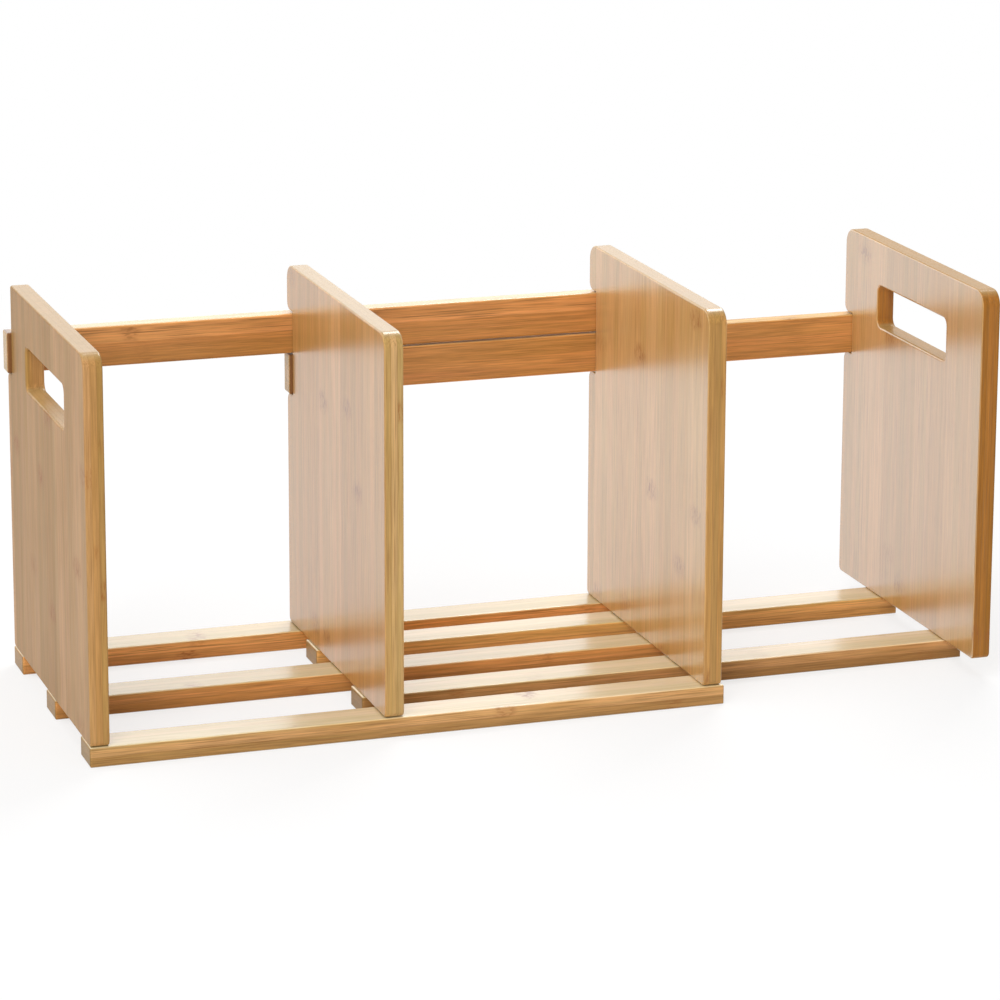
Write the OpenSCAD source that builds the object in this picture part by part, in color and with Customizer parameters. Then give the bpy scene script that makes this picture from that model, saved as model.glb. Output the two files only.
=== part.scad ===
// Expandable bookcase for a desk or shelf: two open bamboo frames that slide in one another.
// Each frame is two upright panels held apart by flat slats underneath and one rail at the back.
// The left frame carries three slats and the upper rail, the right frame two slats and the lower
// rail, so the slats lie side by side and the rails lie one above the other as the frames slide.
// Sizes are millimetres. X runs along the bookcase, Y from front to back, Z up.

/* [Frames] */
// Length of each frame, over the outer faces of its two panels
frame_len = 320.6; // [280:0.2:400]
// How far the right frame's left panel stands from the left frame's left panel
pull_out = 146; // [40:1:240]

/* [Panels] */
// Thickness of a panel
panel_t = 9.6; // [8:0.2:14]
// Depth of a panel from front to back
panel_d = 173; // [160:1:200]
// Height of a panel above the slats
panel_h = 190.8; // [160:0.2:260]
// Radius of a panel's top corners
top_corner_r = 8; // [4:0.5:14]
// Radius of a panel's bottom corners
foot_corner_r = 3; // [2:0.5:5]
// Radius of the left end panel's top corner at the rail's step
step_corner_r = 1.5; // [1.3:0.1:4]
// Radius that eases the long edges of the panels
panel_edge_r = 1; // [0.6:0.1:1.2]

/* [Hand holes] */
// Length of a hand hole
grip_len = 86; // [60:1:100]
// Height of a hand hole
grip_h = 22; // [14:0.5:30]
// Radius of a hand hole's corners
grip_corner_r = 4; // [2:0.5:6]
// Depth of the left hand hole's centre line below its panel's top
left_grip_below = 35.3; // [30:0.1:60]
// Depth of the right hand hole's centre line below its panel's top
right_grip_below = 34; // [30:0.1:60]
// Radius that eases a hand hole's edges
grip_edge_r = 1.2; // [0.6:0.1:1.6]

/* [Slats] */
// Width of a slat
slat_w = 20.6; // [16:0.2:22]
// Thickness of a slat
slat_t = 10; // [8:0.5:14]
// How much longer a slat is than its frame
slat_extra = 1.7; // [1.6:0.1:3]
// How far the left frame's slats stand out past its left panel
left_slat_out = 0.2; // [0:0.1:1]
// How far the right frame's slats stand out past its left panel
right_slat_out = 1.2; // [0:0.1:1.6]
// Distance of the right frame's slats from the middle of the depth
lane_offset = 40.9; // [34:0.1:46]

/* [Back rails] */
// Height of a rail, which stands on edge
rail_w = 20.8; // [16:0.2:24]
// Thickness of a rail
rail_t = 10; // [8:0.5:14]
// How much longer a rail is than its frame
rail_extra = 1.7; // [0:0.1:3]
// How far the upper rail stands out past the left frame's left panel
left_rail_out = 2.2; // [0:0.1:4]
// How far the lower rail stands out past the right frame's left panel
right_rail_out = 1.7; // [0:0.1:4]
// Depth of the upper rail's top edge below the panels' top
rail_below_top = 24.6; // [22:0.2:50]
// Gap between the two rails
rail_gap = 0.8; // [0.4:0.1:2]
// Radius of a rail's lower back edge
rail_back_r = 3.5; // [1:0.5:4.5]
// Radius that eases the other edges of slats and rails
strip_edge_r = 1.2; // [0.4:0.1:2]

/* [Notches] */
// Radius of the rounded lips where a notch opens at a panel's back edge
lip_r = 4.5; // [2:0.5:6]
// Gap above and below a rail in the panels that hold it
fit_gap = 0.4; // [0.2:0.1:1]
// Gap above and below a rail in the panel that it slides through
pass_gap = 0.8; // [0.4:0.1:1.5]
// Gap between a panel and the strips of the other frame that it slides along
glide_gap = 0.5; // [0.3:0.1:1]
// Gap beside a slat in the shallow relief under a panel that slides over it
lane_gap = 1; // [0.5:0.5:3]

/* [Screws] */
// Length of a wood screw under its head
screw_len = 25; // [20:1:30]
// Diameter of its shank
screw_d = 3.5; // [2.5:0.5:4]
// Diameter of its head, which is flat underneath
screw_head_d = 7; // [5:0.5:8]
// Height of its head
screw_head_h = 2.2; // [1.5:0.1:3]
// Depth that a head is sunk below the face of its strip
screw_sink = 0.6; // [0.2:0.1:1]
// Gap all round a screw in its hole
screw_gap = 0.1; // [0.05:0.05:0.2]

/* [Hidden] */
$fn = 48;

// Colours of the lacquered bamboo and the screws
panel_colour = [0.83, 0.68, 0.51];
slat_colour = [0.80, 0.60, 0.38];
rail_colour = [0.70, 0.47, 0.26];
screw_colour = [0.72, 0.72, 0.70];

// Length of the slats and of the rails
slat_len = frame_len + slat_extra;
rail_len = frame_len + rail_extra;

// Left face of each panel along X
left_end_x = 0;
left_inner_x = frame_len - panel_t;
right_inner_x = pull_out;
right_end_x = pull_out + frame_len - panel_t;

// Start of each strip along X
left_slat_x = left_end_x - left_slat_out;
right_slat_x = right_inner_x - right_slat_out;
left_rail_x = left_end_x - left_rail_out;
right_rail_x = right_inner_x - right_rail_out;

// Front edge of each slat along Y, from front to back
left_lanes = [0, (panel_d - slat_w) / 2, panel_d - slat_w];
right_lanes = [
  panel_d / 2 - lane_offset - slat_w / 2,
  panel_d / 2 + lane_offset - slat_w / 2
];

// Heights of the rails above the slats' top faces, the upper rail first
upper_z = [panel_h - rail_below_top - rail_w, panel_h - rail_below_top];
lower_z = [upper_z[0] - rail_gap - rail_w, upper_z[0] - rail_gap];

// Front face of both rails, which is also the floor of the notches that hold them
rail_y = panel_d - rail_t;

// The origin lies on the resting surface, below the middle of the whole bookcase
low_x = min(left_slat_x, left_rail_x, left_end_x);
high_x = max(right_slat_x + slat_len, right_rail_x + rail_len, right_end_x + panel_t,
             left_slat_x + slat_len, left_rail_x + rail_len);
origin_x = (low_x + high_x) / 2;
origin_y = panel_d / 2;
overshoot = 1;
slab_w = 2 * max(top_corner_r, lip_r);
back_w = rail_t + slab_w;
screw_tip = 3;
screw_point_r = 0.4;
head_bevel = 0.5;
cross_w = 0.9;
cross_len = 4;
cross_depth = 1.3;

module place() {
  translate([-origin_x, -origin_y, slat_t]) children();
}

// Flat shape of a board's edge, seen along the edge: its outer side, at y = w, is eased
module edge_shape(w) {
  e = panel_edge_r;
  square([panel_t, w - e]);
  translate([e, 0]) square([panel_t - 2 * e, w]);
  for (x = [e, panel_t - e]) translate([x, w - e]) circle(r = e);
}

// Stretch of a panel that ends at an eased upright edge; side is 1 at the back, -1 at the front
module upright_edge(side, y, z0, z1, w = slab_w) {
  translate([0, y, z0]) mirror([0, side < 0 ? 1 : 0, 0]) translate([0, -w, 0])
    linear_extrude(height = z1 - z0) edge_shape(w);
}

// Stretch of a panel that ends at an eased level edge; side is 1 for a top edge, -1 for a lower one
module level_edge(side, z, y0, y1, w = slab_w) {
  translate([0, y1, z]) mirror([0, 0, side < 0 ? 1 : 0]) translate([0, 0, -w])
    rotate([90, 0, 0]) linear_extrude(height = y1 - y0) edge_shape(w);
}

// Quarter of a round, eased corner about the axis at y, z; to is the way it points along Y and Z
module corner(y, z, r, to) {
  e = panel_edge_r;
  translate([0, y, z]) mirror([0, to[0] < 0 ? 1 : 0, 0]) mirror([0, 0, to[1] > 0 ? 1 : 0])
    rotate([0, 90, 0]) rotate_extrude(angle = 90) intersection() {
      square([r, panel_t]);
      union() {
        square([r - e, panel_t]);
        translate([0, e]) square([r, panel_t - 2 * e]);
        for (x = [e, panel_t - e]) translate([r - e, x]) circle(r = e);
      }
    }
}

// Front, bottom and top of a panel with its four outer corners, up to the notches' floor
module panel_body(back_top_y) {
  t = top_corner_r;
  f = foot_corner_r;
  upright_edge(-1, 0, f, panel_h - t);
  level_edge(-1, 0, f, panel_d - f);
  level_edge(1, panel_h, t, back_top_y);
  corner(t, panel_h - t, t, [-1, 1]);
  corner(f, f, f, [-1, -1]);
  corner(panel_d - f, f, f, [1, -1]);
  translate([0, slab_w / 2, slab_w / 2])
    cube([panel_t, rail_y - slab_w, panel_h - slab_w]);
}

// Back of a panel from its foot up to a notch whose lower side is at z
module back_below(z) {
  upright_edge(1, panel_d, foot_corner_r, z - lip_r, back_w);
  corner(panel_d - lip_r, z - lip_r, lip_r, [1, 1]);
  level_edge(1, z, rail_y - slab_w / 2, panel_d - lip_r);
}

// Back of a panel from a notch whose upper side is at z up to the panel's top
module back_above(z) {
  upright_edge(1, panel_d, z + lip_r, panel_h - top_corner_r, back_w);
  corner(panel_d - top_corner_r, panel_h - top_corner_r, top_corner_r, [1, 1]);
  corner(panel_d - lip_r, z + lip_r, lip_r, [1, -1]);
  level_edge(-1, z, rail_y - slab_w / 2, panel_d - lip_r, panel_h - z - top_corner_r);
}

// Floor of a notch between two heights
module notch_floor(y, z0, z1) {
  upright_edge(1, y, z0 - lip_r, z1 + lip_r);
}

// Rounded opening with eased edges for a hand; below is its centre line's depth under the top
module hand_hole(below) {
  y0 = (panel_d - grip_len) / 2;
  z0 = panel_h - below - grip_h / 2;
  r = grip_corner_r;
  e = grip_edge_r;
  over = overshoot;
  ys = [y0 + r, y0 + grip_len - r];
  zs = [z0 + r, z0 + grip_h - r];
  translate([-over, y0, z0 + r]) cube([panel_t + 2 * over, grip_len, grip_h - 2 * r]);
  translate([-over, y0 + r, z0]) cube([panel_t + 2 * over, grip_len - 2 * r, grip_h]);
  for (y = ys) for (z = zs) translate([-over, y, z]) rotate([0, 90, 0])
    cylinder(r = r, h = panel_t + 2 * over);
  for (face = [0, 1]) translate([face * panel_t, 0, 0]) mirror([face, 0, 0]) {
    for (i = [0, 1]) {
      translate([0, ys[1], zs[i]]) mirror([0, 0, 1 - i]) translate([0, 0, r])
        rotate([90, 0, 0]) linear_extrude(height = ys[1] - ys[0]) ease_cut(e, over);
      translate([0, ys[i], zs[0]]) mirror([0, 1 - i, 0]) translate([0, r, 0])
        linear_extrude(height = zs[1] - zs[0]) ease_cut(e, over);
      for (j = [0, 1]) translate([0, ys[i], zs[j]]) mirror([0, 1 - i, 0]) mirror([0, 0, j])
        rotate([0, 90, 0]) rotate_extrude(angle = 90)
          translate([r, 0]) mirror([1, -1]) ease_cut(e, over);
    }
  }
}

// What the easing of an edge takes away beside an opening, along x = 0 into the board
module ease_cut(e, over) {
  difference() {
    translate([-over, -over]) square([e + over, e + over]);
    translate([e, e]) circle(r = e);
  }
}

// Rectangle whose corners have their own radii: front low, back low, back high, front high
module round_rect(size, r) {
  at = [[0, 0], [size[0], 0], [size[0], size[1]], [0, size[1]]];
  inward = [[1, 1], [-1, 1], [-1, -1], [1, -1]];
  difference() {
    square(size);
    for (i = [0:3]) translate(at[i]) scale_sign(inward[i]) difference() {
      translate([-overshoot, -overshoot]) square([r[i] + overshoot, r[i] + overshoot]);
      translate([r[i], r[i]]) circle(r = r[i]);
    }
  }
}

module scale_sign(s) {
  mirror([s[0] < 0 ? 1 : 0, 0]) mirror([0, s[1] < 0 ? 1 : 0]) children();
}

// Bamboo strip along X with all its edges eased; size is length, depth and height
module strip(size, back_low_r = strip_edge_r) {
  r = strip_edge_r;
  rr = [r, r, r, r];
  intersection() {
    rotate([90, 0, 90]) linear_extrude(height = size[0])
      round_rect([size[1], size[2]], [r, back_low_r, r, r]);
    linear_extrude(height = size[2]) round_rect([size[0], size[1]], rr);
    translate([0, size[1], 0]) rotate([90, 0, 0]) linear_extrude(height = size[1])
      round_rect([size[0], size[2]], rr);
  }
}

// Wood screw that points up from its sunk head
module screw() {
  shank_r = screw_d / 2;
  head_r = screw_head_d / 2;
  shank_end = screw_head_h + screw_len - screw_tip;
  difference() {
    union() {
      cylinder(r1 = head_r - head_bevel, r2 = head_r, h = head_bevel);
      translate([0, 0, head_bevel]) cylinder(r = head_r, h = screw_head_h - head_bevel);
      cylinder(r = shank_r, h = shank_end);
      translate([0, 0, shank_end]) cylinder(r1 = shank_r, r2 = screw_point_r, h = screw_tip);
    }
    for (turn = [0, 90]) rotate([0, 0, turn])
      translate([-cross_len / 2, -cross_w / 2, -overshoot])
        cube([cross_len, cross_w, cross_depth + overshoot]);
  }
}

// Hole that a screw fills, with a flat seat for its head, from the face at z = 0 upwards
module screw_hole() {
  seat_z = screw_sink + screw_head_h;
  translate([0, 0, -overshoot]) cylinder(r = screw_head_d / 2 + screw_gap, h = overshoot + seat_z);
  cylinder(r = screw_d / 2 + screw_gap, h = seat_z + screw_len + screw_gap);
}

// Screws or holes from below, through each slat in lanes and into the panel at x
module from_below(x, lanes) {
  for (y = lanes) translate([x + panel_t / 2, y + slat_w / 2, -slat_t]) children();
}

// Screws or holes from behind, through a rail and into the panel at x
module from_behind(x, z) {
  translate([x + panel_t / 2, panel_d, (z[0] + z[1]) / 2]) rotate([90, 0, 0]) children();
}

// Shallow relief under a panel where it slides over the other frame's slats
module slat_relief(lanes) {
  for (y = lanes) translate([-overshoot, y - lane_gap, -overshoot])
    cube([panel_t + 2 * overshoot, slat_w + 2 * lane_gap, overshoot + glide_gap]);
}

// Left frame's outer panel: the upper rail lies in a step that is open at the panel's top
module left_end_panel() {
  z = upper_z[0] - fit_gap;
  r = step_corner_r;
  color(panel_colour) place() translate([left_end_x, 0, 0]) difference() {
    union() {
      panel_body(rail_y - r);
      corner(rail_y - r, panel_h - r, r, [1, 1]);
      upright_edge(1, rail_y, z - lip_r, panel_h - r);
      back_below(z);
    }
    hand_hole(left_grip_below);
    from_below(0, left_lanes) screw_hole();
    from_behind(0, upper_z) screw_hole();
  }
}

// Left frame's inner panel: holds the upper rail, and the lower rail slides through
module left_inner_panel() {
  z0 = lower_z[0] - pass_gap;
  z1 = upper_z[1] + fit_gap;
  step_z = (lower_z[1] + upper_z[0]) / 2;
  color(panel_colour) place() translate([left_inner_x, 0, 0]) difference() {
    union() {
      panel_body(panel_d - top_corner_r);
      back_below(z0);
      back_above(z1);
      notch_floor(rail_y, z0, z1);
    }
    translate([-overshoot, rail_y - glide_gap, z0])
      cube([panel_t + 2 * overshoot, rail_t, step_z - z0]);
    slat_relief(right_lanes);
    from_below(0, left_lanes) screw_hole();
    from_behind(0, upper_z) screw_hole();
  }
}

// Right frame's inner panel: holds the lower rail, and the upper rail slides through
module right_inner_panel() {
  z0 = lower_z[0] - fit_gap;
  z1 = upper_z[1] + pass_gap;
  step_z = (lower_z[1] + upper_z[0]) / 2;
  color(panel_colour) place() translate([right_inner_x, 0, 0]) difference() {
    union() {
      panel_body(panel_d - top_corner_r);
      back_below(z0);
      back_above(z1);
      notch_floor(rail_y, z0, z1);
    }
    translate([-overshoot, rail_y - glide_gap, step_z])
      cube([panel_t + 2 * overshoot, rail_t, z1 - step_z]);
    slat_relief(left_lanes);
    from_below(0, right_lanes) screw_hole();
    from_behind(0, lower_z) screw_hole();
  }
}

// Right frame's outer panel: the lower rail lies in a closed notch
module right_end_panel() {
  z0 = lower_z[0] - fit_gap;
  z1 = lower_z[1] + fit_gap;
  color(panel_colour) place() translate([right_end_x, 0, 0]) difference() {
    union() {
      panel_body(panel_d - top_corner_r);
      back_below(z0);
      back_above(z1);
      notch_floor(rail_y, z0, z1);
    }
    hand_hole(right_grip_below);
    from_below(0, right_lanes) screw_hole();
    from_behind(0, lower_z) screw_hole();
  }
}

// One slat at depth y that starts at x, drilled for the panels at xs
module slat(x, y, xs) {
  color(slat_colour) place() difference() {
    translate([x, y, -slat_t]) strip([slat_len, slat_w, slat_t]);
    for (px = xs) from_below(px, [y]) screw_hole();
  }
}

module left_slat_front() {
  slat(left_slat_x, left_lanes[0], [left_end_x, left_inner_x]);
}

module left_slat_middle() {
  slat(left_slat_x, left_lanes[1], [left_end_x, left_inner_x]);
}

module left_slat_back() {
  slat(left_slat_x, left_lanes[2], [left_end_x, left_inner_x]);
}

module right_slat_front() {
  slat(right_slat_x, right_lanes[0], [right_inner_x, right_end_x]);
}

module right_slat_back() {
  slat(right_slat_x, right_lanes[1], [right_inner_x, right_end_x]);
}

// One rail that starts at x between the heights z, drilled for the panels at xs
module rail(x, z, xs) {
  color(rail_colour) place() difference() {
    translate([x, rail_y, z[0]]) strip([rail_len, rail_t, rail_w], rail_back_r);
    for (px = xs) from_behind(px, z) screw_hole();
  }
}

module left_back_rail() {
  rail(left_rail_x, upper_z, [left_end_x, left_inner_x]);
}

module right_back_rail() {
  rail(right_rail_x, lower_z, [right_inner_x, right_end_x]);
}

// Screws that hold one panel to its slats
module slat_screws(x, lanes) {
  color(screw_colour) place() from_below(x, lanes) translate([0, 0, screw_sink]) screw();
}

module left_end_screws() {
  slat_screws(left_end_x, left_lanes);
}

module left_inner_screws() {
  slat_screws(left_inner_x, left_lanes);
}

module right_inner_screws() {
  slat_screws(right_inner_x, right_lanes);
}

module right_end_screws() {
  slat_screws(right_end_x, right_lanes);
}

// Screws that hold one rail to its two panels
module rail_screws(xs, z) {
  color(screw_colour) place() for (x = xs) from_behind(x, z) translate([0, 0, screw_sink]) screw();
}

module left_rail_screws() {
  rail_screws([left_end_x, left_inner_x], upper_z);
}

module right_rail_screws() {
  rail_screws([right_inner_x, right_end_x], lower_z);
}

left_end_panel();
left_inner_panel();
left_slat_front();
left_slat_middle();
left_slat_back();
left_back_rail();
right_inner_panel();
right_end_panel();
right_slat_front();
right_slat_back();
right_back_rail();
left_end_screws();
left_inner_screws();
left_rail_screws();
right_inner_screws();
right_end_screws();
right_rail_screws();
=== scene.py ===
# %% [markdown]
# # An expandable bookcase in lacquered bamboo
# The real object is two open frames of solid bamboo that slide in one another. Every board of it
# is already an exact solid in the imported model, so this lesson doesn't rebuild any board.
# It gives the boards their wood and lacquer, and sets them in a plain white studio.

# %% Load the fixed frame
import math
import bpy
from mathutils import Matrix, Vector


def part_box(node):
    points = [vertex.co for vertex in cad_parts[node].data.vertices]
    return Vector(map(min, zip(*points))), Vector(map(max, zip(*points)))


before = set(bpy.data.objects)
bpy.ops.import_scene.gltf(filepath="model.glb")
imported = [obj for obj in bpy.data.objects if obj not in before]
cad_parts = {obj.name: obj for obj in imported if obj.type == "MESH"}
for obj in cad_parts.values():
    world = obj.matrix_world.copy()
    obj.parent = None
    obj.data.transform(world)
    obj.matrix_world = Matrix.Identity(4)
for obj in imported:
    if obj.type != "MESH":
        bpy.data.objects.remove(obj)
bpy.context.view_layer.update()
bpy.ops.object.select_all(action="DESELECT")
scene = bpy.context.scene
print("boards and screw groups:", sorted(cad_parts))

# %% [markdown]
# The camera stands two metres in front of the bookcase, a little to the left and above it.
# Its angle, distance and lens were worked out from the straight edges of the boards, which all
# run along three directions. The small shift is the photograph's crop.

# %% Camera
AZIMUTH = math.radians(-18.2781)
ELEVATION = math.radians(13.2512)
ROLL = math.radians(0.1539)
DISTANCE = 2.0613
AIM = Vector((-0.00837, -0.00061, 0.16465))
SENSOR = 36.0
LENS_TO_SENSOR = 4.1172
SHIFT_X, SHIFT_Y = 0.01596, -0.14191

back = Vector((math.sin(AZIMUTH) * math.cos(ELEVATION),
               -math.cos(AZIMUTH) * math.cos(ELEVATION), math.sin(ELEVATION)))
level = (-back).cross(Vector((0, 0, 1))).normalized()
upright = level.cross(-back)
right = level * math.cos(ROLL) + upright * math.sin(ROLL)
up = upright * math.cos(ROLL) - level * math.sin(ROLL)

camera_data = bpy.data.cameras.new("camera")
camera_data.sensor_width = SENSOR
camera_data.lens = SENSOR * LENS_TO_SENSOR
camera_data.shift_x = SHIFT_X
camera_data.shift_y = SHIFT_Y
camera = bpy.data.objects.new("camera", camera_data)
scene.collection.objects.link(camera)
turn = Matrix((right, up, back)).transposed().to_4x4()
camera.matrix_world = Matrix.Translation(AIM + back * DISTANCE) @ turn
scene.camera = camera
print("camera at", [round(v, 3) for v in camera.matrix_world.translation])

# %% [markdown]
# A shader is a small network of nodes. These helpers keep the recipes below readable: `put` adds
# a node and fills its sockets, `calc` does one sum, `soft_step` is a smooth switch, `tint` blends
# one colour into another, `times` makes a colour lighter or darker, and `dice` throws numbers
# that stay the same for one place.

# %% Helpers for shader nodes
def fill(tree, socket, value):
    if isinstance(value, bpy.types.NodeSocket):
        tree.links.new(value, socket)
    else:
        socket.default_value = value


def put(tree, kind, settings=None, plugs=None):
    node = tree.nodes.new(kind)
    for key, value in (settings or {}).items():
        setattr(node, key, value)
    for key, value in (plugs or {}).items():
        fill(tree, node.inputs[key], value)
    return node


def calc(tree, operation, a, b=0.0, c=0.0):
    return put(tree, "ShaderNodeMath", {"operation": operation}, {0: a, 1: b, 2: c}).outputs[0]


def soft_step(tree, value, low, high, out_low=0.0, out_high=1.0):
    return put(tree, "ShaderNodeMapRange", {"interpolation_type": "SMOOTHSTEP"},
               {"Value": value, "From Min": low, "From Max": high,
                "To Min": out_low, "To Max": out_high}).outputs[0]


def point(tree, x, y, z):
    return put(tree, "ShaderNodeCombineXYZ", None, {0: x, 1: y, 2: z}).outputs[0]


print("number helpers ready")


# %% Helpers for colours and chance
def tint(tree, amount, a, b, blend="MIX"):
    node = put(tree, "ShaderNodeMix", {"data_type": "RGBA", "blend_type": blend}, {0: amount})
    fill(tree, node.inputs[6], a)
    fill(tree, node.inputs[7], b)
    return node.outputs[2]


def times(tree, colour, factor):
    return tint(tree, 1.0, colour, point(tree, factor, factor, factor), "MULTIPLY")


def dice(tree, x, y, z):
    """Three random numbers from 0 to 1 that stay the same for one x, y and z."""
    throw = put(tree, "ShaderNodeTexWhiteNoise", {"noise_dimensions": "3D"},
                {"Vector": point(tree, x, y, z)})
    return put(tree, "ShaderNodeSeparateColor", None, {0: throw.outputs["Color"]}).outputs


print("colour helpers ready")

# %% [markdown]
# A pattern that belongs to the wood has to know where it is in its board. This helper takes the
# object's own coordinates and gives millimetres along the grain, across the board's width and
# deep into its thickness, and says whether a point is on a face or on an end. What is neither is
# an edge. `TO_FACE` and `TO_END` say how far the surface has to turn that way to count, so that
# the eased corners blend one into the other.

# %% Places in a board
MM = 1000.0
TO_FACE = (0.55, 0.85)
TO_END = (0.55, 0.95)


def place_in_board(tree, name, axes):
    coords = put(tree, "ShaderNodeTexCoord")
    place = put(tree, "ShaderNodeSeparateXYZ", None, {0: coords.outputs["Object"]})
    facing = put(tree, "ShaderNodeSeparateXYZ", None, {0: coords.outputs["Normal"]})
    low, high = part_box(name)
    spot = [calc(tree, "MULTIPLY_ADD", place.outputs[axis], MM, -low[axis] * MM)
            for axis in axes]
    is_face = soft_step(tree, calc(tree, "ABSOLUTE", facing.outputs[axes[2]]), *TO_FACE)
    is_end = soft_step(tree, calc(tree, "ABSOLUTE", facing.outputs[axes[0]]), *TO_END)
    length = (high[axes[0]] - low[axes[0]]) * MM
    return spot, is_face, is_end, length


print("places are in millimetres")

# %% [markdown]
# Board bamboo is pressed from long slivers that were split off the cane and planed square. On a
# board's face they show as strips some 20 mm wide, each a little lighter or darker, with a thin
# glue line between them. Along the board's edge the pressed layers show, 3 to 5 mm thick.
# Both come from one grid of cells laid across the grain, so that the strips, the layers and
# the end grain all meet where they should, on any face of a board.

# %% Strips and layers
LAYER_STAGGER = 0.37
BOARD_STAGGER = 0.61


def cells(tree, across, deep, strip_w, layer_t, seed):
    layer = calc(tree, "DIVIDE", deep, layer_t)
    layer_id = calc(tree, "FLOOR", layer)
    stagger = calc(tree, "MULTIPLY_ADD", layer_id, LAYER_STAGGER, seed * BOARD_STAGGER)
    strip = calc(tree, "ADD", calc(tree, "DIVIDE", across, strip_w), stagger)
    strip_id = calc(tree, "FLOOR", strip)
    strip_at = calc(tree, "FRACT", strip)
    layer_at = calc(tree, "FRACT", layer)
    to_side = calc(tree, "MINIMUM", strip_at, calc(tree, "SUBTRACT", 1.0, strip_at))
    to_layer = calc(tree, "MINIMUM", layer_at, calc(tree, "SUBTRACT", 1.0, layer_at))
    to_glue = calc(tree, "MINIMUM", calc(tree, "MULTIPLY", to_side, strip_w),
                   calc(tree, "MULTIPLY", to_layer, layer_t))
    return strip_id, layer_id, strip_at, to_glue


print("each layer's strips are shifted by", LAYER_STAGGER, "of a strip")

# %% [markdown]
# Along a sliver run hair-thin fibre bundles, darker than the pith between them. A Voronoi
# pattern that is stretched along the grain gives the bundles: lines on a face, dots on the end
# grain. Stretched noise of four sizes gives the finer lines and the slow changes of tone. Each
# size is a width, a length and a fineness.

# %% Fibres
BUNDLE_WIDE, BUNDLE_LONG = 0.8, 38.0
HAIR = (0.65, 20.0, 3.0)
STREAK = (2.4, 110.0, 3.0)
BAND = (8.0, 420.0, 3.0)
CLOUD = (22.0, 90.0, 2.0)
NOISE_ROUGH = 0.55
BUNDLE_RIM = (0.14, 0.46)


def stretched(tree, across, deep, grain, width, length, detail):
    at = point(tree, calc(tree, "DIVIDE", across, width), calc(tree, "DIVIDE", deep, width),
               calc(tree, "DIVIDE", grain, length))
    noise = put(tree, "ShaderNodeTexNoise", None,
                {"Vector": at, "Scale": 1.0, "Detail": detail, "Roughness": NOISE_ROUGH})
    return noise.outputs["Fac"]


def fibres(tree, across, deep, grain):
    at = point(tree, calc(tree, "DIVIDE", across, BUNDLE_WIDE),
               calc(tree, "DIVIDE", deep, BUNDLE_WIDE), calc(tree, "DIVIDE", grain, BUNDLE_LONG))
    cell = put(tree, "ShaderNodeTexVoronoi", {"voronoi_dimensions": "3D", "feature": "F1"},
               {"Vector": at, "Scale": 1.0, "Randomness": 1.0})
    bundle = soft_step(tree, cell.outputs["Distance"], *BUNDLE_RIM, 1.0, 0.0)
    return [bundle] + [stretched(tree, across, deep, grain, *size)
                       for size in (HAIR, STREAK, BAND, CLOUD)]


print("fibre bundles are", BUNDLE_WIDE, "mm wide")

# %% [markdown]
# Where the cane had a knuckle, the fibres knot together. After planing, that shows as a soft
# patch of short dark dashes, about as wide as its strip. Each sliver has its own, at a random
# height and of a random strength, because the slivers are mixed before they are pressed. A rim
# is a pair of values between which a pattern fades.

# %% Knuckles
KNUCKLE_EVERY = 105.0
KNUCKLE_HALF_TALL = 8.0
KNUCKLE_HALF_WIDE = 13.0
KNUCKLE_RIM = (0.15, 1.0)
DASH = (1.3, 5.0, 2.0)
DASH_RIM = (0.46, 0.6)
DASH_SHARE = 0.75
FAINT_TO_STRONG = (0.35, 0.9)
UP_SPREAD, UP_LEAST = 0.5, 0.25
SIDE_SPREAD, SIDE_LEAST = 0.4, 0.3
SLIVER_SHIFTS = 9.0
START_SEED, OWN_SEED = 3.7, 5.1


def knuckles(tree, across, deep, grain, strip_id, layer_id, strip_at, strip_w, seed):
    start = dice(tree, strip_id, layer_id, seed + START_SEED)[0]
    joint = calc(tree, "MULTIPLY_ADD", start, SLIVER_SHIFTS,
                 calc(tree, "DIVIDE", grain, KNUCKLE_EVERY))
    own = dice(tree, strip_id, calc(tree, "FLOOR", joint), seed + OWN_SEED)
    middle = calc(tree, "MULTIPLY_ADD", own[0], UP_SPREAD, UP_LEAST)
    side = calc(tree, "MULTIPLY_ADD", own[1], SIDE_SPREAD, SIDE_LEAST)
    above = calc(tree, "MULTIPLY", calc(tree, "SUBTRACT", calc(tree, "FRACT", joint), middle),
                 KNUCKLE_EVERY / KNUCKLE_HALF_TALL)
    beside = calc(tree, "MULTIPLY", calc(tree, "SUBTRACT", strip_at, side),
                  strip_w / KNUCKLE_HALF_WIDE)
    ring = put(tree, "ShaderNodeVectorMath", {"operation": "LENGTH"},
               {0: point(tree, above, beside, 0.0)}).outputs["Value"]
    patch = soft_step(tree, ring, *KNUCKLE_RIM, 1.0, 0.0)
    dash = soft_step(tree, stretched(tree, across, deep, grain, *DASH), *DASH_RIM)
    strength = soft_step(tree, own[2], *FAINT_TO_STRONG)
    shape = calc(tree, "MULTIPLY_ADD", dash, DASH_SHARE, 1.0 - DASH_SHARE)
    return calc(tree, "MULTIPLY", calc(tree, "MULTIPLY", patch, strength), shape)


print("a sliver has a knuckle every", KNUCKLE_EVERY, "mm")
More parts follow.
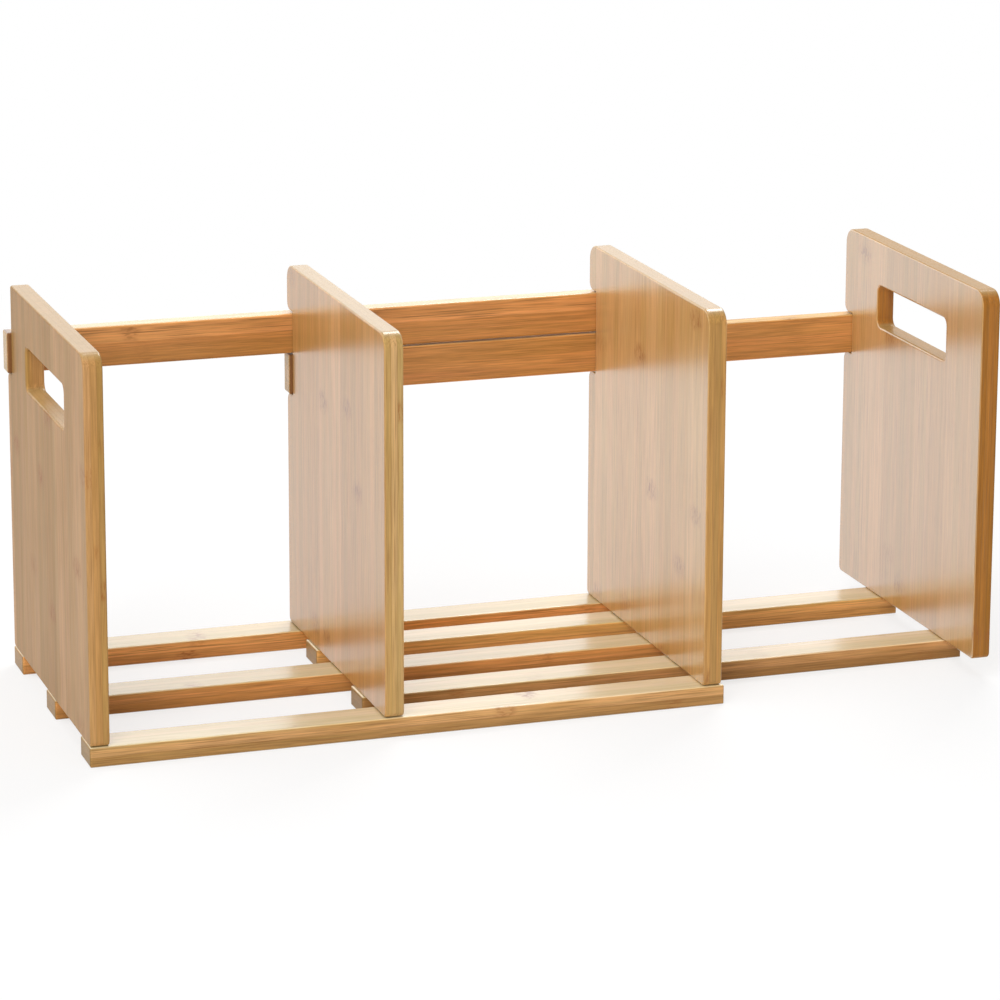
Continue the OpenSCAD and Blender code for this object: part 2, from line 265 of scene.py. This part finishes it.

# %% [markdown]
# There are three kinds of board. `axes` names the directions of its grain, its width and its
# thickness. `grain` is how strongly the lines show on a face and on an edge, and `end` how far
# the end grain turns to its own colour. `low_layer` makes a slat's lower layer darker and its
# upper layer as much lighter, and `tips` darkens the last few millimetres of a rail with painted
# shade, as the photograph shows where the rails stand out past their panels.

# %% Kinds of board
PANEL_END = (0.415, 0.275, 0.108, 1.0)
END_GRAIN = (0.27, 0.17, 0.055, 1.0)
PANEL = {"axes": (2, 1, 0), "strip_w": 19.4, "layer_t": 3.2, "grain": (0.62, 0.7),
         "end": (0.7, PANEL_END), "low_layer": 1.0, "tips": 0.0}
SLAT = {"axes": (0, 1, 2), "strip_w": 20.7, "layer_t": 5.0, "grain": (0.35, 1.0),
        "end": (0.8, END_GRAIN), "low_layer": 0.87, "tips": 0.0}
RAIL = {"axes": (0, 2, 1), "strip_w": 20.9, "layer_t": 5.0, "grain": (1.15, 1.0),
        "end": (0.4, END_GRAIN), "low_layer": 1.0, "tips": 0.9}
print("strips are", [kind["strip_w"] for kind in (PANEL, SLAT, RAIL)], "mm wide")

# %% [markdown]
# The tone of a sliver lies between a pale and a warm one, and slow clouds and bands change it
# along the board. Each change is written as three factors: how light, how red and how blue the
# board's own tone becomes, first on its edges and then on its faces.

# %% Tone of the slivers
PALE = (1.14, 0.99, 1.08), (1.24, 0.98, 1.1)
WARM = (0.91, 1.02, 0.83), (0.82, 1.03, 0.8)
CLOUDED = (0.84, 1.04, 0.76), (0.82, 1.05, 0.75)
LIGHT_BAND = (1.07, 1.035, 1.06, 1.0)
DARK_BAND = (0.92, 0.955, 0.89, 1.0)
BAND_RIM = (0.38, 0.62)
CLOUD_RIM = (0.4, 0.65)
CLOUD_SHOWS = 0.5


def shade(colour, light, red, blue):
    return (colour[0] * light * red, colour[1] * light, colour[2] * light * blue, 1.0)


def changed(tree, is_face, edge, face, change):
    return tint(tree, is_face, shade(edge, *change[0]), shade(face, *change[1]))


def sliver_tone(tree, is_face, edge, face, own, band, cloud):
    pale, warm, clouded = [changed(tree, is_face, edge, face, change)
                           for change in (PALE, WARM, CLOUDED)]
    tone = tint(tree, own[0], pale, warm)
    tone = tint(tree, soft_step(tree, cloud, *CLOUD_RIM, 0.0, CLOUD_SHOWS), tone, clouded)
    side = tint(tree, soft_step(tree, band, *BAND_RIM), LIGHT_BAND, DARK_BAND)
    return tint(tree, 1.0, tone, side, "MULTIPLY")


print("sliver tones ready")

# %% [markdown]
# Over that tone lie the lines of the grain, the dark fibre bundles, the knuckles, the end grain
# and the glue lines, each blended in where its own pattern says. Painted shade darkens the last
# millimetres of the rails beside their panels.

# %% Marks in the wood, and painted shade on the rails' last millimetres
FIBRE = (0.32, 0.15, 0.045, 1.0)
KNUCKLE = (0.33, 0.115, 0.03, 1.0)
GLUE = (0.30, 0.145, 0.045, 1.0)
# The colour of the painted shade on the last millimetres of the rails, beside their panels.
TIP_SHADE = (0.16, 0.065, 0.027, 1.0)
STREAK_SHOWS = 0.9
FLECKS_LEAST, FLECKS_MORE = 0.25, 0.6
KNUCKLE_SHOWS = 0.85
END_BUNDLES = 0.4
TIP_SHADE_MM = (2.5, 5.0)
GLUE_LINE_MM = (0.04, 0.3)
GLUE_SHOWS = 0.32


def grain_lines(tree, tone, kind, is_face, own, bundle, hair, streak):
    on_face, on_edge = kind["grain"]
    depth = calc(tree, "MULTIPLY_ADD", is_face, on_face - on_edge, on_edge)
    middle = 0.5 * (1.0 + STREAK_SHOWS)
    lines = calc(tree, "MULTIPLY_ADD", streak, STREAK_SHOWS,
                 calc(tree, "SUBTRACT", hair, middle))
    tone = times(tree, tone, calc(tree, "MULTIPLY_ADD", lines, depth, 1.0))
    share = calc(tree, "MULTIPLY_ADD", own[1], FLECKS_MORE, FLECKS_LEAST)
    flecks = calc(tree, "MULTIPLY", bundle, calc(tree, "MULTIPLY", depth, share))
    return tint(tree, flecks, tone, FIBRE)


def end_marks_and_tip_shade(tree, tone, kind, along, length, is_end, bundle):
    amount, colour = kind["end"]
    tone = tint(tree, calc(tree, "MULTIPLY", is_end, amount), tone, colour)
    # Painted shade on the last millimetres of a rail, off its end grain, beside its panel.
    to_tip = calc(tree, "MINIMUM", along, calc(tree, "SUBTRACT", length, along))
    tip_shade = calc(tree, "MULTIPLY", soft_step(tree, to_tip, *TIP_SHADE_MM, kind["tips"], 0.0),
               calc(tree, "SUBTRACT", 1.0, is_end))
    tone = tint(tree, tip_shade, tone, TIP_SHADE)
    dots = calc(tree, "MULTIPLY", calc(tree, "MULTIPLY", bundle, is_end), END_BUNDLES)
    return tint(tree, dots, tone, FIBRE)


print("marks ready: grain, knuckles, ends and glue lines")

# %% [markdown]
# The finish is a clear satin lacquer. It is a second, smoother surface over the wood, which
# Principled's coat gives, while the wood below keeps its own weaker and duller shine. At the
# low angle at which one looks along a panel, the two together mirror the room as a pale veil,
# and where a rail stands behind the panel they mirror the rail, and the wood's own colour shows.
# The coat's index is raised to make that veil as strong as the photographed one. Where one
# looks straight at a board it would then mirror too much, so Layer Weight takes it back there.
# `gloss` says how well it mirrors on a face, on an edge and on an end. A bump is a strength and
# a height in metres: the fibres stand up a little under the lacquer, which follows them softly.

# %% Satin lacquer
COAT_ROUGH = 0.24
WOOD_SHINE = 0.08
WOOD_ROUGH, STREAK_ROUGH, BUNDLE_ROUGH = 0.26, 0.12, 0.08
HEAD_ON = 0.35
SLANT_RIM = (0.2, 0.55)
HAIR_RISE, BUNDLE_SINK = 0.6, -0.4
WOOD_BUMP = (0.3, 0.00012)
COAT_BUMP = (0.25, 0.00008)


def lacquer(tree, shader, gloss, coat_ior, is_face, is_end, bundle, hair, streak):
    on_face, on_edge, on_end = gloss
    dull = calc(tree, "MULTIPLY_ADD", streak, STREAK_ROUGH, WOOD_ROUGH)
    dull = calc(tree, "MULTIPLY_ADD", bundle, BUNDLE_ROUGH, dull)
    fill(tree, shader.inputs["Roughness"], dull)
    shader.inputs["Specular IOR Level"].default_value = WOOD_SHINE * on_face
    coat = calc(tree, "MULTIPLY_ADD", is_face, on_face - on_edge, on_edge)
    coat = calc(tree, "MULTIPLY_ADD", is_end, calc(tree, "SUBTRACT", on_end, coat), coat)
    slant = put(tree, "ShaderNodeLayerWeight", None, {"Blend": 0.5}).outputs["Facing"]
    coat = calc(tree, "MULTIPLY", coat, soft_step(tree, slant, *SLANT_RIM, HEAD_ON, 1.0))
    fill(tree, shader.inputs["Coat Weight"], coat)
    shader.inputs["Coat Roughness"].default_value = COAT_ROUGH
    shader.inputs["Coat IOR"].default_value = coat_ior
    relief = calc(tree, "MULTIPLY_ADD", hair, HAIR_RISE,
                  calc(tree, "MULTIPLY", bundle, BUNDLE_SINK))
    for socket, (strength, rise), pattern in (("Normal", WOOD_BUMP, relief),
                                              ("Coat Normal", COAT_BUMP, streak)):
        bump = put(tree, "ShaderNodeBump", None,
                   {"Strength": strength, "Distance": rise, "Height": pattern})
        fill(tree, shader.inputs[socket], bump.outputs[0])


print("the lacquer's roughness is", COAT_ROUGH)

# %% [markdown]
# `board` puts it all together for one board. Every sliver reads the fibres at another distance
# along the cane, so that no line runs on from one strip into the next.

# %% Lacquered bamboo
SLIVER_APART = 500.0
LAYER_RIM = (0.94, 1.06)


def board(name, kind, face, edge, gloss, coat_ior, seed):
    material = bpy.data.materials.new(name)
    material.use_nodes = True
    tree = material.node_tree
    shader = tree.nodes["Principled BSDF"]
    (along, across, deep), is_face, is_end, length = place_in_board(tree, name, kind["axes"])
    strip_w, layer_t, low = kind["strip_w"], kind["layer_t"], kind["low_layer"]
    strip_id, layer_id, strip_at, to_glue = cells(tree, across, deep, strip_w, layer_t, seed)
    own = dice(tree, strip_id, layer_id, seed)
    cane = calc(tree, "MULTIPLY_ADD", own[2], SLIVER_APART, along)
    bundle, hair, streak, band, cloud = fibres(tree, across, deep, cane)
    knuckle = knuckles(tree, across, deep, along, strip_id, layer_id, strip_at, strip_w, seed)

    tone = sliver_tone(tree, is_face, edge, face, own, band, cloud)
    rim = [share * layer_t for share in LAYER_RIM]
    tone = times(tree, tone, soft_step(tree, deep, *rim, low, 2.0 - low))
    tone = grain_lines(tree, tone, kind, is_face, own, bundle, hair, streak)
    tone = tint(tree, calc(tree, "MULTIPLY", knuckle, KNUCKLE_SHOWS), tone, KNUCKLE)
    tone = end_marks_and_tip_shade(tree, tone, kind, along, length, is_end, bundle)
    tone = tint(tree, soft_step(tree, to_glue, *GLUE_LINE_MM, GLUE_SHOWS, 0.0), tone, GLUE)
    fill(tree, shader.inputs["Base Color"], tone)
    lacquer(tree, shader, gloss, coat_ior, is_face, is_end, bundle, hair, streak)
    return material


print("board recipe ready")

# %% [markdown]
# A panel has the tone of its faces, the tone of its edges, its gloss, and the index that sets
# how strongly its lacquer mirrors. The slats' tops share one tone, and so do the rails. These
# values were found by trial against the photograph, board by board, so besides the wood's own
# tone they hold painted light and shade: the first panel's faces are painted darker than the
# others', the slats' tops and the rails' edges paler, and the slats' edges lighter or darker one
# by one. The indices are higher than a real lacquer's 1.5, for the veils' sake.

# %% Each board's own tone
PANELS = {
    "left_end_panel": ((0.47, 0.275, 0.113), (0.49, 0.272, 0.102), (0.18, 0.05, 0.6), 2.0),
    "right_inner_panel": ((0.755, 0.425, 0.16), (0.545, 0.335, 0.13), (0.86, 0.18, 0.7), 2.1),
    "left_inner_panel": ((0.77, 0.485, 0.2), (0.52, 0.283, 0.093), (0.97, 0.12, 0.58), 2.5),
    "right_end_panel": ((0.705, 0.42, 0.163), (0.395, 0.158, 0.026), (1.0, 0.06, 0.05), 3.5),
}
SLAT_TOP, SLAT_GLOSS, SLAT_IOR = (0.75, 0.62, 0.35), (1.0, 0.12, 0.1), 2.2
SLAT_EDGES = {
    "left_slat_front": (0.51, 0.285, 0.105),
    "left_slat_middle": (0.555, 0.262, 0.085),
    "left_slat_back": (0.70, 0.325, 0.11),
    "right_slat_front": (0.44, 0.23, 0.084),
    "right_slat_back": (0.72, 0.385, 0.14),
}
RAIL_FACE, RAIL_EDGE, RAIL_IOR = (0.765, 0.345, 0.108), (0.74, 0.48, 0.22), 2.0
RAIL_GLOSS = {"left_back_rail": (0.35, 0.9, 0.6), "right_back_rail": (0.35, 0.15, 0.6)}
FIRST_SEED = 1.3

finishes = {}
for count, name in enumerate(sorted(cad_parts)):
    if name in PANELS:
        look = (PANEL, *PANELS[name])
    elif name in SLAT_EDGES:
        look = (SLAT, SLAT_TOP, SLAT_EDGES[name], SLAT_GLOSS, SLAT_IOR)
    elif name in RAIL_GLOSS:
        look = (RAIL, RAIL_FACE, RAIL_EDGE, RAIL_GLOSS[name], RAIL_IOR)
    else:
        continue
    finishes[name] = board(name, *look, count + FIRST_SEED)
print("board materials:", len(finishes))

# %% [markdown]
# The screws are zinc-plated steel. The plating is bright but not polished, and the heads are
# scuffed a little by the driver, so its dullness changes from place to place.

# %% Zinc-plated steel
GREY_ZINC, WARM_ZINC = (0.56, 0.57, 0.56, 1.0), (0.66, 0.65, 0.60, 1.0)
SCUFFS_PER_METRE = 900.0
SCUFF_RIM = (0.3, 0.7)
SHINY_TO_DULL = (0.24, 0.42)

zinc = bpy.data.materials.new("zinc_plate")
zinc.use_nodes = True
plate = zinc.node_tree
plate_coords = put(plate, "ShaderNodeTexCoord")
scuffs = put(plate, "ShaderNodeTexNoise", None,
             {"Vector": plate_coords.outputs["Object"], "Scale": SCUFFS_PER_METRE,
              "Detail": 3.0}).outputs["Fac"]
plate_shader = plate.nodes["Principled BSDF"]
plate_shader.inputs["Metallic"].default_value = 1.0
fill(plate, plate_shader.inputs["Base Color"], tint(plate, scuffs, GREY_ZINC, WARM_ZINC))
fill(plate, plate_shader.inputs["Roughness"],
     soft_step(plate, scuffs, *SCUFF_RIM, *SHINY_TO_DULL))

for name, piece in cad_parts.items():
    piece.data.materials.clear()
    piece.data.materials.append(finishes.get(name, zinc))
print("finished pieces:", len(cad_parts))

# %% [markdown]
# The studio is a plain floor of white paper. Near the bookcase the camera sees the lit paper
# with its shadow, mixed with pure white, and further off only pure white, as the world beyond
# is. The lacquer mirrors the same white. The light that reaches the wood doesn't change by it,
# because only the rays of the camera and of mirrors are switched.

# %% What the camera and the mirrors see
def seen(tree):
    """1 for the camera's, the mirrored and the transmitted rays, 0 for the light's own."""
    path = put(tree, "ShaderNodeLightPath")
    seen_or_mirrored = calc(tree, "MAXIMUM", path.outputs["Is Camera Ray"],
                            path.outputs["Is Glossy Ray"])
    return calc(tree, "MAXIMUM", seen_or_mirrored, path.outputs["Is Transmission Ray"])


print("white is switched by the kind of ray")

# %% Paper floor
FLOOR_SIZE = 12.0
PAPER = (0.90, 0.90, 0.90, 1.0)
NEAR_WHITE = 0.7
NEAR, FAR = 0.45, 0.95

bpy.ops.mesh.primitive_plane_add(size=FLOOR_SIZE, location=(0, 0, 0))
floor = bpy.context.object
floor.name = "floor"

paper = bpy.data.materials.new("white_paper")
paper.use_nodes = True
sheet = paper.node_tree
paper_shader = sheet.nodes["Principled BSDF"]
paper_shader.inputs["Base Color"].default_value = PAPER
paper_shader.inputs["Roughness"].default_value = 1.0
paper_shader.inputs["Specular IOR Level"].default_value = 0.0
spot = put(sheet, "ShaderNodeNewGeometry")
distance = put(sheet, "ShaderNodeVectorMath", {"operation": "LENGTH"},
               {0: spot.outputs["Position"]}).outputs["Value"]
white_share = soft_step(sheet, distance, NEAR, FAR, NEAR_WHITE, 1.0)
pure_white = put(sheet, "ShaderNodeEmission", None, {"Strength": 1.0})
blend = put(sheet, "ShaderNodeMixShader", None,
            {0: calc(sheet, "MULTIPLY", white_share, seen(sheet)), 1: paper_shader.outputs[0],
             2: pure_white.outputs[0]})
fill(sheet, sheet.nodes["Material Output"].inputs["Surface"], blend.outputs[0])
floor.data.materials.append(paper)
print("floor of", FLOOR_SIZE, "m")

# %% White surroundings
AMBIENT = 0.4

world = bpy.data.worlds.new("studio")
scene.world = world
world.use_nodes = True
sky = world.node_tree
sky.nodes["Background"].inputs["Color"].default_value = (1.0, 1.0, 1.0, 1.0)
fill(sky, sky.nodes["Background"].inputs["Strength"],
     put(sky, "ShaderNodeMapRange", None,
         {"Value": seen(sky), "To Min": AMBIENT, "To Max": 1.0}).outputs[0])
print("the world lights the wood with", AMBIENT, "and looks white")

# %% [markdown]
# Five soft lamps light it. A big one from the front left gives the front edges and the rails
# their colour, one above brings out the slats, a weak one on the left reaches the first panel's
# outer face, one behind on the right brightens the paper that the panels mirror, and a wide weak
# one behind lights the backs. The camera sees none of them, and the lacquer doesn't mirror the
# front one, whose mirror image would burn out the slats.

# %% Lamps
LAMPS = {
    "front_light": ((-1.3, -1.8, 1.5), (0, 0, 0.1), (1.2, 1.2), 24),
    "top_light": ((-0.7, -0.2, 1.95), (0, 0, 0), (1.4, 1.4), 16),
    "left_light": ((-1.8, 0.2, 0.9), (0, 0, 0.1), (1.2, 1.2), 1.5),
    "paper_light": ((0.6, 0.85, 1.4), (0.15, 0.45, 0.0), (0.7, 0.7), 12),
    "back_light": ((0.3, 2.4, 0.9), (0, 0, 0.1), (2.4, 1.2), 5),
}


def softbox(name, at, aim, size, power):
    data = bpy.data.lights.new(name, "AREA")
    data.shape = "RECTANGLE"
    data.size, data.size_y = size
    data.energy = power
    lamp = bpy.data.objects.new(name, data)
    scene.collection.objects.link(lamp)
    lamp.location = at
    lamp.rotation_euler = (Vector(aim) - Vector(at)).to_track_quat("-Z", "Y").to_euler()
    lamp.visible_camera = False
    lamp.visible_glossy = name != "front_light"
    print(name, power, "W")


for name, (at, aim, size, power) in LAMPS.items():
    softbox(name, at, aim, size, power)
scene.view_settings.view_transform = "Standard"
